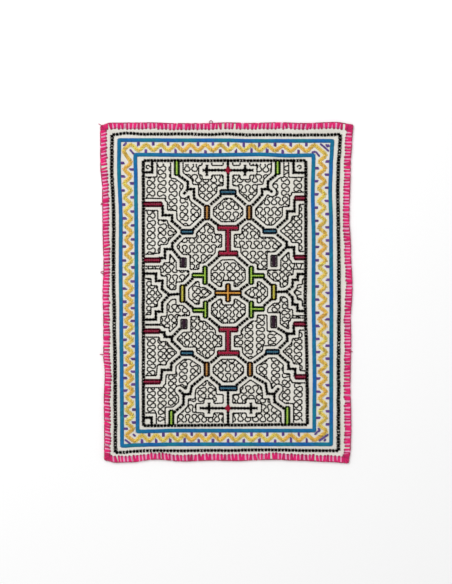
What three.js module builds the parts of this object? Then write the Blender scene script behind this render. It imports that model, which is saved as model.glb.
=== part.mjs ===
// A rectangular embroidered cotton cloth that lies flat, with a hem and an edging of pink yarn.
// Millimetres, +Z up. The cloth's length runs along Y and its width along X. The origin is on the
// surface that the cloth lies on, under the middle of its box.

import * as THREE from 'three';

// Driving dimensions
const clothWidth = 380; // over the edging, where the cloth is widest
const clothLength = 512; // over the edging, where the cloth is longest
const clothThickness = 1.6; // the woven cotton with its embroidery
const yarnThickness = 0.8; // the edging above the hem, below it and round its edge
const edgingDepth = 9.5; // how far in from the edge the edging's stitches reach
const gap = 0.35; // between the cloth and the edging
const hemStep = 0.5; // how far past the edging the cloth stays lifted by the yarn below it
const hemFall = 4; // the width over which the lifted hem comes down to the surface
const cornerRadius = 3;

// How finely the outline is divided
const widthSteps = 26;
const lengthSteps = 34;
const cornerSteps = 3;

// Where each side draws in from a true rectangle, as hand sewing left it. "at" is the place along the
// side, from -1 to 1, towards +X on the ends and +Y on the sides, and "dip" is the distance inwards.
const topEdge = [
  { at: -1, dip: 5 },
  { at: -0.92, dip: 1 },
  { at: -0.6, dip: 0.6 },
  { at: -0.4, dip: 1.8 },
  { at: -0.18, dip: 1.8 },
  { at: 0, dip: 0.6 },
  { at: 0.18, dip: 1.5 },
  { at: 0.42, dip: 0.4 },
  { at: 0.62, dip: 1.5 },
  { at: 0.86, dip: 0 },
  { at: 1, dip: 3.4 },
];
const bottomEdge = [
  { at: -1, dip: 4.4 },
  { at: -0.9, dip: 1.2 },
  { at: -0.78, dip: 1.7 },
  { at: -0.58, dip: 5.9 },
  { at: -0.36, dip: 3 },
  { at: -0.12, dip: 4.4 },
  { at: 0.08, dip: 3.7 },
  { at: 0.38, dip: 5.6 },
  { at: 0.6, dip: 4 },
  { at: 0.85, dip: 2 },
  { at: 1, dip: 0 },
];
const leftEdge = [
  { at: -1, dip: 5.9 },
  { at: -0.86, dip: 6.2 },
  { at: -0.64, dip: 5.6 },
  { at: -0.48, dip: 6.9 },
  { at: -0.38, dip: 4.8 },
  { at: -0.18, dip: 4.8 },
  { at: 0, dip: 3.6 },
  { at: 0.16, dip: 5 },
  { at: 0.42, dip: 3.5 },
  { at: 0.62, dip: 3 },
  { at: 0.76, dip: 0.3 },
  { at: 1, dip: 0 },
];
const rightEdge = [
  { at: -1, dip: 6.6 },
  { at: -0.9, dip: 4.1 },
  { at: -0.8, dip: 3.2 },
  { at: -0.52, dip: 4.5 },
  { at: -0.24, dip: 3.4 },
  { at: -0.16, dip: 4.1 },
  { at: 0.04, dip: 1.5 },
  { at: 0.24, dip: 3.6 },
  { at: 0.46, dip: 6 },
  { at: 0.76, dip: 4.2 },
  { at: 0.9, dip: 2.1 },
  { at: 1, dip: 0 },
];

// Heights in the layers of the hem, from the surface up
const clothUnder = yarnThickness + gap;
const clothOver = clothUnder + clothThickness;
const yarnOver = clothOver + gap;
const edgingTop = yarnOver + yarnThickness;

// The dip of a side at one place, eased between the rows of its table
function dipAt(rows, at) {
  const last = rows.length - 1;
  const place = THREE.MathUtils.clamp(at, rows[0].at, rows[last].at);
  const next = Math.max(1, rows.findIndex((row) => row.at >= place));
  const from = rows[next - 1];
  const to = rows[next];
  const eased = THREE.MathUtils.smoothstep(place, from.at, to.at);
  return THREE.MathUtils.lerp(from.dip, to.dip, eased);
}

// Moves a point of the true rectangle to its place on the uneven cloth. A side's dip fades away
// towards the opposite side.
function settle(x, y) {
  const across = x / (clothWidth / 2);
  const along = y / (clothLength / 2);
  const left = dipAt(leftEdge, along) * (1 - across) / 2;
  const right = dipAt(rightEdge, along) * (1 + across) / 2;
  const top = dipAt(topEdge, across) * (1 + along) / 2;
  const bottom = dipAt(bottomEdge, across) * (1 - along) / 2;
  return new THREE.Vector2(x + left - right, y + bottom - top);
}

// One closed loop of the outline, a distance in from the edge, run anticlockwise from above
function loopAt(inset) {
  const halfWidth = clothWidth / 2 - inset;
  const halfLength = clothLength / 2 - inset;
  const corners = [
    { x: 1, y: -1, turn: -Math.PI / 2, steps: lengthSteps },
    { x: 1, y: 1, turn: 0, steps: widthSteps },
    { x: -1, y: 1, turn: Math.PI / 2, steps: lengthSteps },
    { x: -1, y: -1, turn: Math.PI, steps: widthSteps },
  ];
  const arcs = corners.map((corner) => {
    const arc = [];
    for (let step = 0; step <= cornerSteps; step += 1) {
      const angle = corner.turn + (Math.PI / 2) * (step / cornerSteps);
      arc.push(new THREE.Vector2(
        corner.x * (halfWidth - cornerRadius) + cornerRadius * Math.cos(angle),
        corner.y * (halfLength - cornerRadius) + cornerRadius * Math.sin(angle),
      ));
    }
    return arc;
  });
  const points = [];
  arcs.forEach((arc, index) => {
    const start = arc[cornerSteps];
    const end = arcs[(index + 1) % arcs.length][0];
    points.push(...arc);
    for (let step = 1; step < corners[index].steps; step += 1) {
      points.push(start.clone().lerp(end, step / corners[index].steps));
    }
  });
  return points.map((point) => settle(point.x, point.y));
}

// The bands of triangles between neighbouring loops. Each row of the profile is a loop's inset and height.
function loopBands(profile, positions, faces) {
  const loops = profile.map((row) => loopAt(row.inset));
  const count = loops[0].length;
  loops.forEach((loop, index) => {
    loop.forEach((point) => positions.push(point.x, point.y, profile[index].height));
  });
  const joinLoops = (lower, upper) => {
    for (let i = 0; i < count; i += 1) {
      const j = (i + 1) % count;
      const [a, b] = [lower * count + i, lower * count + j];
      const [c, d] = [upper * count + i, upper * count + j];
      faces.push(a, b, d);
      faces.push(a, d, c);
    }
  };
  return { loops, count, joinLoops };
}

function meshOf(name, positions, faces, finish) {
  const geometry = new THREE.BufferGeometry();
  geometry.setAttribute('position', new THREE.Float32BufferAttribute(positions, 3));
  geometry.setIndex(faces);
  geometry.computeVertexNormals();
  const mesh = new THREE.Mesh(geometry, new THREE.MeshStandardMaterial(finish));
  mesh.name = name;
  return mesh;
}

// The cotton sheet. Its middle lies on the surface, and its hem is lifted by the yarn stitched under it.
function groundCloth() {
  const edge = yarnThickness + gap;
  const liftEnd = edgingDepth + hemStep;
  const flatFrom = liftEnd + hemFall;
  const profile = [
    { inset: flatFrom, height: 0 },
    { inset: liftEnd, height: clothUnder },
    { inset: edge, height: clothUnder },
    { inset: edge, height: clothOver },
    { inset: liftEnd, height: clothOver },
    { inset: flatFrom, height: clothThickness },
  ];
  const positions = [];
  const faces = [];
  const { loops, count, joinLoops } = loopBands(profile, positions, faces);
  for (let row = 0; row < profile.length - 1; row += 1) {
    joinLoops(row, row + 1);
  }
  const upper = (profile.length - 1) * count;
  THREE.ShapeUtils.triangulateShape(loops[0], []).forEach(([a, b, c]) => {
    faces.push(a, c, b);
    faces.push(upper + a, upper + b, upper + c);
  });
  return meshOf('ground_cloth', positions, faces, { color: 0xe4dfd5, roughness: 0.95, metalness: 0 });
}

// The pink yarn that wraps the hem: over it, round its edge and back under it, as one closed ring
function edging() {
  const profile = [
    { inset: yarnThickness, height: 0 },
    { inset: 0, height: yarnThickness },
    { inset: 0, height: yarnOver },
    { inset: yarnThickness, height: edgingTop },
    { inset: edgingDepth, height: edgingTop },
    { inset: edgingDepth, height: yarnOver },
    { inset: yarnThickness, height: yarnOver },
    { inset: yarnThickness, height: yarnThickness },
    { inset: edgingDepth, height: yarnThickness },
    { inset: edgingDepth, height: 0 },
  ];
  const positions = [];
  const faces = [];
  const { joinLoops } = loopBands(profile, positions, faces);
  for (let row = 0; row < profile.length; row += 1) {
    joinLoops(row, (row + 1) % profile.length);
  }
  return meshOf('edging', positions, faces, { color: 0xdd1465, roughness: 0.85, metalness: 0 });
}

// The uneven outline's box is centred on the origin
function centred(group) {
  const box = new THREE.Box3().setFromObject(group);
  const middle = box.getCenter(new THREE.Vector3());
  group.children.forEach((mesh) => mesh.geometry.translate(-middle.x, -middle.y, 0));
  return group;
}

const cloth = new THREE.Group();
cloth.add(groundCloth());
cloth.add(edging());

export default centred(cloth);
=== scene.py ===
import math

import bpy
import numpy as np
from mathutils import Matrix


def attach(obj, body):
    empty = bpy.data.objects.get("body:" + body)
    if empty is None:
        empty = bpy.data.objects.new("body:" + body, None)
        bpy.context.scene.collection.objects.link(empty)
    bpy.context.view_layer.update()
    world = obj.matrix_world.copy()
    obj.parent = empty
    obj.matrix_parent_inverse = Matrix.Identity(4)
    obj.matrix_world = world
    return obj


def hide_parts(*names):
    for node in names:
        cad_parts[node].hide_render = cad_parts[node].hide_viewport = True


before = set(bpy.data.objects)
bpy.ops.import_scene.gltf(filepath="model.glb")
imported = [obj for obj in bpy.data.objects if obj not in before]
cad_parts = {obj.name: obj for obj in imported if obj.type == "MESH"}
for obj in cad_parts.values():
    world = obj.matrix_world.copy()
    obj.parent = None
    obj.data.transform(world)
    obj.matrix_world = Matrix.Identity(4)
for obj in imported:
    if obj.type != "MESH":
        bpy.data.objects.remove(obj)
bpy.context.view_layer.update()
bpy.ops.object.select_all(action="DESELECT")

# Everything is worked out in millimetres, with X along the cloth's width, and made in metres
mm = 0.001
chance = np.random.default_rng(7)
sideNames = ("top", "right", "bottom", "left")

print("stage: the uneven outline")

outline = {
    "width": 380,
    "length": 512,
    # where each side draws in: the place along it, from -1 to 1, and how far in
    "top": [(-1, 5), (-0.92, 1), (-0.6, 0.6), (-0.4, 1.8), (-0.18, 1.8), (0, 0.6), (0.18, 1.5), (0.42, 0.4),
            (0.62, 1.5), (0.86, 0), (1, 3.4)],
    "bottom": [(-1, 4.4), (-0.9, 1.2), (-0.78, 1.7), (-0.58, 5.9), (-0.36, 3), (-0.12, 4.4), (0.08, 3.7),
               (0.38, 5.6), (0.6, 4), (0.85, 2), (1, 0)],
    "left": [(-1, 5.9), (-0.86, 6.2), (-0.64, 5.6), (-0.48, 6.9), (-0.38, 4.8), (-0.18, 4.8), (0, 3.6),
             (0.16, 5), (0.42, 3.5), (0.62, 3), (0.76, 0.3), (1, 0)],
    "right": [(-1, 6.6), (-0.9, 4.1), (-0.8, 3.2), (-0.52, 4.5), (-0.24, 3.4), (-0.16, 4.1), (0.04, 1.5),
              (0.24, 3.6), (0.46, 6), (0.76, 4.2), (0.9, 2.1), (1, 0)],
}
halfWidth = outline["width"] / 2
halfLength = outline["length"] / 2


def eased(rows, at):
    # the value at a place, eased between the rows of a table
    places = np.array([row[0] for row in rows], float)
    values = np.array([row[1] for row in rows], float)
    at = np.clip(np.asarray(at, float), places[0], places[-1])
    upper = np.clip(np.searchsorted(places, at), 1, len(places) - 1)
    share = (at - places[upper - 1]) / (places[upper] - places[upper - 1])
    share = share * share * (3 - 2 * share)
    return values[upper - 1] + (values[upper] - values[upper - 1]) * share


def settle(x, y):
    # from the true rectangle to the uneven cloth
    across = x / halfWidth
    along = y / halfLength
    left = eased(outline["left"], along) * (1 - across) / 2
    right = eased(outline["right"], along) * (1 + across) / 2
    top = eased(outline["top"], across) * (1 + along) / 2
    bottom = eased(outline["bottom"], across) * (1 - along) / 2
    return x + left - right, y + bottom - top


def unsettle(x, y):
    # from the uneven cloth back to the true rectangle
    trueX, trueY = x, y
    for _ in range(4):
        movedX, movedY = settle(trueX, trueY)
        trueX, trueY = trueX + x - movedX, trueY + y - movedY
    return trueX, trueY


def insetAt(x, y):
    trueX, trueY = unsettle(x, y)
    return np.minimum(halfWidth - np.abs(trueX), halfLength - np.abs(trueY))


def eyeColour(red, green, blue):
    # a colour as the eye names it, 0 to 255, as linear light
    parts = np.array([red, green, blue]) / 255
    return np.where(parts <= 0.04045, parts / 12.92, ((parts + 0.055) / 1.055) ** 2.4)


def eyeColours(**named):
    return {name: eyeColour(*colour) for name, colour in named.items()}


def blend(low, high, share):
    return low + (high - low) * share


def smooth(value, start, end):
    share = np.clip((np.asarray(value, float) - start) / (end - start), 0, 1)
    return share * share * (3 - 2 * share)


def measured(line):
    # how far along a line each of its points lies
    steps = np.linalg.norm(np.diff(line, axis=0), axis=1)
    return np.concatenate([[0], np.cumsum(steps)])


def pointsAt(line, places):
    along = measured(line)
    return np.stack([np.interp(places, along, line[:, 0]), np.interp(places, along, line[:, 1])], axis=-1)


def evenPoints(line, step):
    # the points of a line at even distances, as near to the step as a whole number allows
    length = measured(line)[-1]
    count = max(1, int(round(length / step)))
    return pointsAt(line, np.linspace(0, length, count + 1))


def unit(run):
    return run / np.maximum(np.linalg.norm(run, axis=-1, keepdims=True), 1e-9)


def headings(line):
    return unit(np.gradient(line, axis=0))


def leftOf(run):
    return np.stack([-run[:, 1], run[:, 0]], axis=-1)


def rounded(line, times):
    # a line with its kinks rounded off
    for _ in range(times):
        line = np.vstack([line[:1], (line[:-2] + 2 * line[1:-1] + line[2:]) / 4, line[-1:]])
    return line


def ringSides(ring):
    # the four sides of a ring, clockwise from its upper left corner, each as a line of points
    def corner(sideName, endName):
        x, y = ring[sideName][-1][1], ring[endName][-1][1]
        for _ in range(5):
            x = float(eased(ring[sideName], y))
            y = float(eased(ring[endName], x))
        return x, y

    topLeft, topRight = corner("left", "top"), corner("right", "top")
    bottomLeft, bottomRight = corner("left", "bottom"), corner("right", "bottom")
    ends = ((topLeft, topRight), (topRight, bottomRight), (bottomRight, bottomLeft), (bottomLeft, topLeft))
    sides = []
    for name, (start, end) in zip(sideNames, ends):
        if name in ("top", "bottom"):
            x = np.linspace(start[0], end[0], 120)
            sides.append(np.stack([x, eased(ring[name], x)], axis=-1))
        else:
            y = np.linspace(start[1], end[1], 160)
            sides.append(np.stack([eased(ring[name], y), y], axis=-1))
    return sides


print("stage: the border lines and bands")

# Each ring's sides: a place along the side and where the line's middle lies there
borderRing = {
    "left": [(-198, -167.1), (-114, -167.6), (-45, -168.6), (39, -170), (108, -169.5), (192, -172.5),
             (229, -171.9)],
    "right": [(-236, 167.4), (-122, 167.4), (-45, 167.9), (-11, 168.3), (31, 168), (108, 167), (154, 166.4),
              (192, 167.1), (214, 169.1), (237, 170.1)],
    "top": [(-172, 236.9), (-153, 239.2), (-121, 237.8), (-63, 238.1), (-25, 237.1), (-3, 238.1), (35, 236.6),
            (72, 236.9), (110, 236.2), (147, 236.6), (170, 237.4)],
    "bottom": [(-166, -239.6), (-153, -239.2), (-138, -237.8), (-115, -236.5), (-63, -236.9), (-18, -236.2),
               (5, -236.6), (35, -235.7), (80, -235.6), (116, -236.6), (162, -236.8)],
}
outerBandRing = {
    "left": [(-198, -157.1), (-114, -157.7), (-45, -158.3), (39, -159.2), (108, -158.9), (192, -161.7),
             (222, -161.3)],
    "right": [(-221, 156.5), (-11, 156.8), (108, 156.2), (154, 155), (192, 156.2), (214, 157.5),
              (229, 158.6)],
    "top": [(-160, 228.8), (-115, 228.8), (-78, 228.5), (-3, 228.5), (35, 227.6), (159, 227.6)],
    "bottom": [(-153, -229.6), (-138, -228.6), (-115, -227.9), (-78, -227.3), (156, -227.3)],
}
innerBandRing = {
    "left": [(-190, -133.8), (-130, -134.7), (-10, -135.4), (80, -135.7), (170, -136.5), (200, -137.2)],
    "right": [(-190, 131.2), (-130, 131.6), (-70, 130.8), (-10, 130), (80, 130.2), (150, 128.9), (200, 130)],
    "top": [(-130, 206.9), (-40, 206.3), (50, 207.3), (95, 205.6), (125, 206.1)],
    "bottom": [(-130, -208.1), (-108, -207.6), (-85, -206.8), (130, -206.8)],
}
frameRing = {
    "left": [(-199, -125.1), (198, -125.1)],
    "right": [(-191, 120.6), (-161, 120.6), (-101, 119.9), (-18, 117.5), (60, 118.4), (198, 118.4)],
    "top": [(-125, 198.1), (118, 198.1)],
    "bottom": [(-125, -199.3), (0, -198.4), (120, -197.5)],
}

borderSides, outerBandSides, innerBandSides, frameSides = [
    ringSides(ring) for ring in (borderRing, outerBandRing, innerBandRing, frameRing)]

# The yellow wave between the bands. Each side's rows name one of its outer peaks, clockwise and counted
# from the side's first one, and where along the side that peak lies.
wave = {
    # from the middle between the bands to its turns, before they are rounded, and how uneven that is
    "reach": {"top": 5.4, "right": 6.0, "bottom": 5.3, "left": 5.9},
    "uneven": 0.05,
    "peaks": {
        "top": [(0, -143.7), (6, -9.9), (12, 130.8)],
        "right": [(0, 206.6), (21, -207.4)],
        "bottom": [(0, 131.6), (6, -10.2), (12, -137.7)],
        "left": [(0, -213.4), (11, -4.1), (20, 184.9), (20.5, 194.6), (21, 213.4)],
    },
    "width": 4.9,
    "step": 2.9,
    "past": 0.55,
    "half": 1.2,
    "tall": 0.65,
    "spread": 0.18,
    # a darker line along the middle: painted shade where the slanting stitches cross
    "ridge": {"length": 3.4, "half": 0.7, "tall": 0.4, "raised": 1.15},
}


def wavePeaks():
    # the wave's turns, clockwise: whether each is on a level side, whether it is an outer peak, and its place
    turns = []
    for name in sideNames:
        rows = np.array(wave["peaks"][name])
        places = np.interp(np.arange(0, rows[-1, 0] + 0.1, 0.5), rows[:, 0], rows[:, 1])
        outer = eased(outerBandRing[name], places)
        inner = eased(innerBandRing[name], places)
        middle = (outer + inner) / 2
        out = np.sign(outer - inner)
        for step, place in enumerate(places):
            rises = 1 if step % 2 == 0 else -1
            reach = wave["reach"][name] * (1 + wave["uneven"] * chance.normal())
            across = middle[step] + out[step] * rises * reach
            flat = name in ("top", "bottom")
            turns.append({"flat": flat, "rises": rises, "point": (place, across) if flat else (across, place),
                          "outer": outer[step], "inner": inner[step], "place": place,
                          "corner": step in (0, len(places) - 1)})
    return turns


def waveLine(turns):
    # a closed line through the turns, which are rounded off
    corners = np.array([turn["point"] for turn in turns])
    line = evenPoints(np.vstack([corners, corners[:1]]), 1.2)[:-1]
    for _ in range(6):
        line = (np.roll(line, 1, axis=0) + 2 * line + np.roll(line, -1, axis=0)) / 4
    return np.vstack([line, line[:1]])


turns = wavePeaks()
waveRun = waveLine(turns)

print("stage: the chart of the field")

# The field is charted in counts from its middle, x outwards and y upwards, and mirrored both ways
field = {
    "middle": (1.8, -0.4),
    "count": 1.5,
    "outlineAway": 4.8,  # from a line's middle to its thin outline
    "barOutlineAway": 3.5,  # from a bar's edge to its thin outline
    # how far inside the frame the thin outlines and the filling stay, in millimetres
    "outlineClear": 2.2,
    "fillingClear": 4.6,
    "barEdge": 1.65,  # half the width of the thread round a bar
    "diamond": 3.7,  # half a diamond's width
}
fieldLines = [
    [(8.5, 37.5), (19.5, 27.5)],
    [(19.5, 8.5), (12.5, 3.5)],
    [(17, 73.5), (9.5, 67.5)],
    [(17, 88.6), (7.3, 97.5)],
    [(24.5, 88), (34, 96.5), (34, 103.8), (40, 103.8), (40, 111.6), (48.2, 118.2)],
    [(40, 103.8), (44, 100)],
    [(24.5, 73.5), (35, 64)],
    [(48.5, 64.8), (57.8, 73), (57.8, 79.5), (66.3, 79.5), (66.3, 89.5)],
    [(57.5, 44.7), (49.5, 36.5)],
    [(90, 19.7), (71.5, 19.7), (71.5, 13.2), (65.7, 13.2), (65.7, 6), (58.7, 0)],
    [(42.5, 8), (35.5, 14.5)],
]
# Lines that differ between the left and the right, mirrored only from the upper to the lower half
sideLines = [
    [(48.5, 57.5), (57.5, 50), (57.5, 44.7), (66.3, 44.7), (66.3, 36)],
    [(-48.5, 57.5), (-57.5, 50), (-57.5, 44.7), (-64.4, 44.7), (-64.4, 36.2), (-69, 36.2)],
]
# Lines on the field's own middle lines, not mirrored across them
middleLines = [
    [(0, 103.5), (0, 140)],
    [(0, -103.5), (0, -140)],
    [(-24.4, 122.6), (24.4, 122.6)],
    [(-24.4, -122.6), (24.4, -122.6)],
    [(-21, 118.1), (-21, 127.1)],
    [(17, 118.1), (17, 127.1)],
    [(-17, -118.1), (-17, -127.1)],
    [(19.5, -118.1), (19.5, -127.1)],
    [(-58.7, 0), (-48.5, 0)],
    [(48.5, 0), (58.7, 0)],
]
# The small corner marks, in counts in from the frame's corners
cornerMarks = [
    {"x": -1, "y": 1, "wide": 8.8, "high": 11.8, "curl": True},
    {"x": 1, "y": 1, "wide": 12.3, "high": 12, "curl": True},
    {"x": -1, "y": -1, "wide": 8.2, "high": 8, "curl": False},
]
# Each bar: where it starts and ends in counts, its half width and its dye, and half the width of the thread
# round it where that isn't the usual one
fieldBars = [
    {"dye": "orange", "runs": [(-12.8, 0, 12.8, 0), (0, -8.9, 0, 8.9)], "half": 2.6, "mirror": ""},
    {"dye": "green", "runs": [(23, 9, 23, 26.5), (23, 17.5, 35.6, 17.5)], "half": 2.5, "mirror": "xy"},
    {"dye": "red", "runs": [(-10.3, 65, 10.3, 65), (0, 65, 0, 39.6), (-9.4, 39.6, 9.4, 39.6)], "half": 2.75,
     "edge": 1.3, "mirror": "y"},
    {"dye": "amber", "runs": [(21, 73.6, 21, 87.1)], "half": 2.85, "edge": 1.75, "mirror": "xy"},
    {"dye": "teal", "runs": [(-7.6, 100.9, 7.6, 100.9)], "half": 2.7, "mirror": "y"},
    {"dye": "teal", "runs": [(35, 61.2, 47.6, 61.2)], "half": 2.6, "mirror": "xy"},
    {"dye": "green", "runs": [(50.3, 119.2, 50.3, 140)], "half": 2.7, "mirror": "x"},
    {"dye": "green", "runs": [(50.3, -116.6, 50.3, -140)], "half": 2.7, "mirror": "x"},
    {"dye": "crimson", "runs": [(67, 91.6, 90, 91.6)], "half": 2.5, "mirror": "xy"},
    {"dye": "crimson", "runs": [(67, 34.2, 90, 34.2)], "half": 2.5, "mirror": "y"},
    {"dye": "crimson", "runs": [(-90, 34.2, -68.4, 34.2)], "half": 2.5, "mirror": "y"},
    {"dye": "olive", "runs": [(45.6, -8, 45.6, 8)], "half": 2.8, "mirror": "x"},
    {"dye": "plum", "runs": [(45.4, 26.3, 45.4, 36.3)], "half": 3.4, "edge": 1.1, "mirror": "x"},
    {"dye": "plum", "runs": [(-45.4, -26.3, -45.4, -36.3)], "half": 3.4, "edge": 1.1, "mirror": ""},
    {"dye": "plum", "runs": [(45.4, -24.6, 45.4, -35.2)], "half": 3.2, "edge": 1.1, "mirror": ""},
]
# How the rows and columns drift from the chart, as hand work does: a row's count, then where it lies at the
# far left, the left, the middle, the right and the far right, and a column's at each of the charted columns
rowDrift = [
    (-132.3, -132.6, -132.6, -132, -131.4, -131.4),
    (-127.1, -128.6, -128.6, -119.6, -124.8, -124.8),
    (-122.5, -124, -124, -115, -120, -120),
    (-118.1, -119.4, -119.4, -110.5, -115.4, -115.4),
    (-103.8, -101.2, -101.2, -97.8, -101, -101),
    (-91.6, -88.7, -88.7, -86.8, -83.8, -83.8),
    (-80.4, -77.6, -77.6, -77.1, -76.6, -76.6),
    (-61, -59.9, -59.9, -55.5, -58.6, -58.6),
    (-50, -48, -48, -45.7, -47.6, -47.6),
    (-44.7, -43.8, -43.8, -41, -40.6, -40.6),
    (-34.2, -38.1, -33.6, -31.5, -34, -31),
    (-19.7, -26.5, -20.4, -18.5, -17.5, -17.9),
    (0, -2.6, -0.9, 0, 1, 1.4),
    (19.7, 19.4, 20.1, 19.7, 19, 19),
    (34.2, 32.8, 32.8, 34.2, 35.5, 35.5),
    (61, 61, 61, 61, 61.5, 61.5),
    (91.6, 88.7, 88.7, 91.6, 94.8, 94.8),
    (103.8, 103.8, 103.8, 103.8, 103.8, 103.8),
    (122.5, 121, 121, 122.6, 122, 122),
    (132.3, 132.3, 132.3, 132.3, 132.3, 132.3),
]
# Where those five lie: each pair is a stretch of columns
driftStretches = (-90, -64, -52, -35, -25, 25, 35, 52, 64, 90)
driftColumns = (-84, -60, -40, 0, 40, 60, 84)
columnDrift = [
    (-132.3, -86, -68, -45, 0, 47.5, 71, 82),
    (-100, -86, -66, -44.3, 0, 46, 68, 81),
    (-92, -86, -60.5, -41, 0, 42.5, 62, 80),
    (-80, -86, -59, -40.5, 0, 41.8, 62.5, 80),
    (-61, -86, -58.5, -40, 0, 43.5, 63, 80),
    (-34, -86, -58.5, -38.5, 0, 40.3, 60, 80),
    (0, -86, -60, -40, 0, 40.5, 59.5, 80),
    (34, -86, -58, -40, 0, 40.3, 61, 80),
    (91.6, -86, -58, -40, 0, 40.3, 61.5, 80),
    (104, -86, -61, -40.2, 0, 39.9, 58.8, 80),
    (132.3, -86, -61.5, -40.2, 0, 39.9, 58.8, 80),
]


def chartPlace(x, y):
    # a place in counts, in millimetres
    return np.array([field["middle"][0] + x * field["count"], field["middle"][1] + y * field["count"]])


def drifted(point):
    # a charted point on the real cloth
    x, y = point
    rows, *heights = np.transpose(rowDrift)
    realY = np.interp(x, driftStretches, np.repeat([np.interp(y, rows, height) for height in heights], 2))
    lines, *columns = np.transpose(columnDrift)
    realX = np.interp(x, driftColumns, [np.interp(y, lines, column) for column in columns])
    return chartPlace(realX, realY)


def mirrored(points, ways):
    # a run of charted points in each of the quarters it is repeated in
    signs = {"": [(1, 1)], "x": [(1, 1), (-1, 1)], "y": [(1, 1), (1, -1)],
             "xy": [(1, 1), (-1, 1), (1, -1), (-1, -1)]}[ways]
    return [[(x * signX, y * signY) for x, y in points] for signX, signY in signs]


def insideFrame(x, y, margin):
    inside = (x > eased(frameRing["left"], y) + margin) & (x < eased(frameRing["right"], y) - margin)
    return inside & (y < eased(frameRing["top"], x) - margin) & (y > eased(frameRing["bottom"], x) + margin)


def clipToFrame(line, margin):
    # the stretch of a line that lies inside the frame
    dense = evenPoints(line, 0.5)
    return dense[insideFrame(dense[:, 0], dense[:, 1], margin)]


def barBox(start, end, half):
    # the lower and upper corners of the rectangle round a run
    low, high = np.minimum(start, end), np.maximum(start, end)
    level = abs(end[0] - start[0]) > abs(end[1] - start[1])
    wide = np.array([0, half]) if level else np.array([half, 0])
    return low - wide, high + wide


networkRuns = []
for charts, ways in ((fieldLines, "xy"), (sideLines, "y"), (middleLines, "")):
    for charted in charts:
        networkRuns += [np.array([drifted(point) for point in run]) for run in mirrored(charted, ways)]
markBoxes = []
curls = []
curl = np.array([(-3.4, -0.6), (-1.6, 2.2), (1.6, 2.4), (3.2, -0.4), (1.4, -3.2), (-1, -2.2)])
for mark in cornerMarks:
    ways = np.array([mark["x"], mark["y"]])
    outer = np.array([float(eased(frameRing["left" if mark["x"] < 0 else "right"], mark["y"] * 190)),
                      float(eased(frameRing["bottom" if mark["y"] < 0 else "top"], mark["x"] * 120))])
    corner = outer - ways * (mark["wide"] * field["count"], mark["high"] * field["count"])
    networkRuns.append(np.array([corner + ways * (0, 30), corner, corner + ways * (30, 0)]))
    markBoxes.append((corner, outer))
    if mark["curl"]:
        curls.append(rounded(evenPoints((corner + outer) / 2 - ways * 0.4 + curl * ways, 0.7), 4))

bars = []
for bar in fieldBars:
    for [(signX, signY)] in mirrored([(1, 1)], bar["mirror"]):
        runs = []
        for startX, startY, endX, endY in bar["runs"]:
            start = drifted((startX * signX, startY * signY))
            end = drifted((endX * signX, endY * signY))
            # a bar stays level or upright
            if startY == endY:
                start[1] = end[1] = drifted(((startX + endX) / 2 * signX, startY * signY))[1]
            else:
                start[0] = end[0] = drifted((startX * signX, (startY + endY) / 2 * signY))[0]
            runs.append((start, end))
        bars.append({"dye": bar["dye"], "runs": runs, "half": bar["half"] * field["count"],
                     "edge": bar.get("edge", field["barEdge"])})

# The diamonds on the middle line
diamonds = [drifted((0, 122.6)), drifted((0, -122.6))]
diamondHalf = field["diamond"] * field["count"]

# How far each place in the field lies from the nearest line, less near bars by their own half width
cell = 0.75
gridX = np.arange(-132, 132, cell)
gridY = np.arange(-206, 206, cell)
away = np.full((len(gridY), len(gridX)), 99.0)
outlineAt = field["outlineAway"] * field["count"]
lineSpare = (field["outlineAway"] - field["barOutlineAway"]) * field["count"]


def gridRound(low, high, reach=12.0):
    # the grid's window round a box, and its places
    i0, i1 = np.searchsorted(gridX, [low[0] - reach, high[0] + reach])
    j0, j1 = np.searchsorted(gridY, [low[1] - reach, high[1] + reach])
    return (slice(j0, j1), slice(i0, i1)), *np.meshgrid(gridX[i0:i1], gridY[j0:j1])


def noteAway(window, far):
    away[window] = np.minimum(away[window], far)


def noteLine(start, end, squareStart, squareEnd):
    # a line's ends are round, or square where it bends sharply
    window, x, y = gridRound(np.minimum(start, end), np.maximum(start, end))
    run = end - start
    length = np.linalg.norm(run)
    run = run / length
    along = (x - start[0]) * run[0] + (y - start[1]) * run[1]
    across = np.abs((x - start[0]) * -run[1] + (y - start[1]) * run[0])
    past = np.maximum(-along, along - length)
    square = np.where(-along > along - length, squareStart, squareEnd)
    noteAway(window, np.where(past <= 0, across,
                              np.where(square, np.maximum(across, past), np.hypot(across, past))))


for run in networkRuns:
    lines = unit(np.diff(run, axis=0))
    for i, line in enumerate(lines):
        level = max(abs(line)) > 0.95
        bendBefore = abs(lines[i - 1] @ line) < 0.35 if i else level
        bendAfter = abs(line @ lines[i + 1]) < 0.35 if i < len(lines) - 1 else level
        noteLine(run[i], run[i + 1], bendBefore, bendAfter)
for bar in bars:
    for start, end in bar["runs"]:
        low, high = barBox(start, end, bar["half"])
        window, x, y = gridRound(low, high)
        outside = np.maximum(np.maximum(low[0] - x, x - high[0]), np.maximum(low[1] - y, y - high[1]))
        noteAway(window, outside + lineSpare)
for point in diamonds:
    window, x, y = gridRound(point - diamondHalf, point + diamondHalf)
    outside = (np.abs(x - point[0]) + np.abs(y - point[1]) - diamondHalf) * math.sqrt(0.5)
    noteAway(window, outside + lineSpare)
for corner, outer in markBoxes:
    low, high = np.minimum(corner, outer), np.maximum(corner, outer)
    insideX, insideY = (gridX > low[0]) & (gridX < high[0]), (gridY > low[1]) & (gridY < high[1])
    away[np.ix_(insideY, insideX)] = 0


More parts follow.
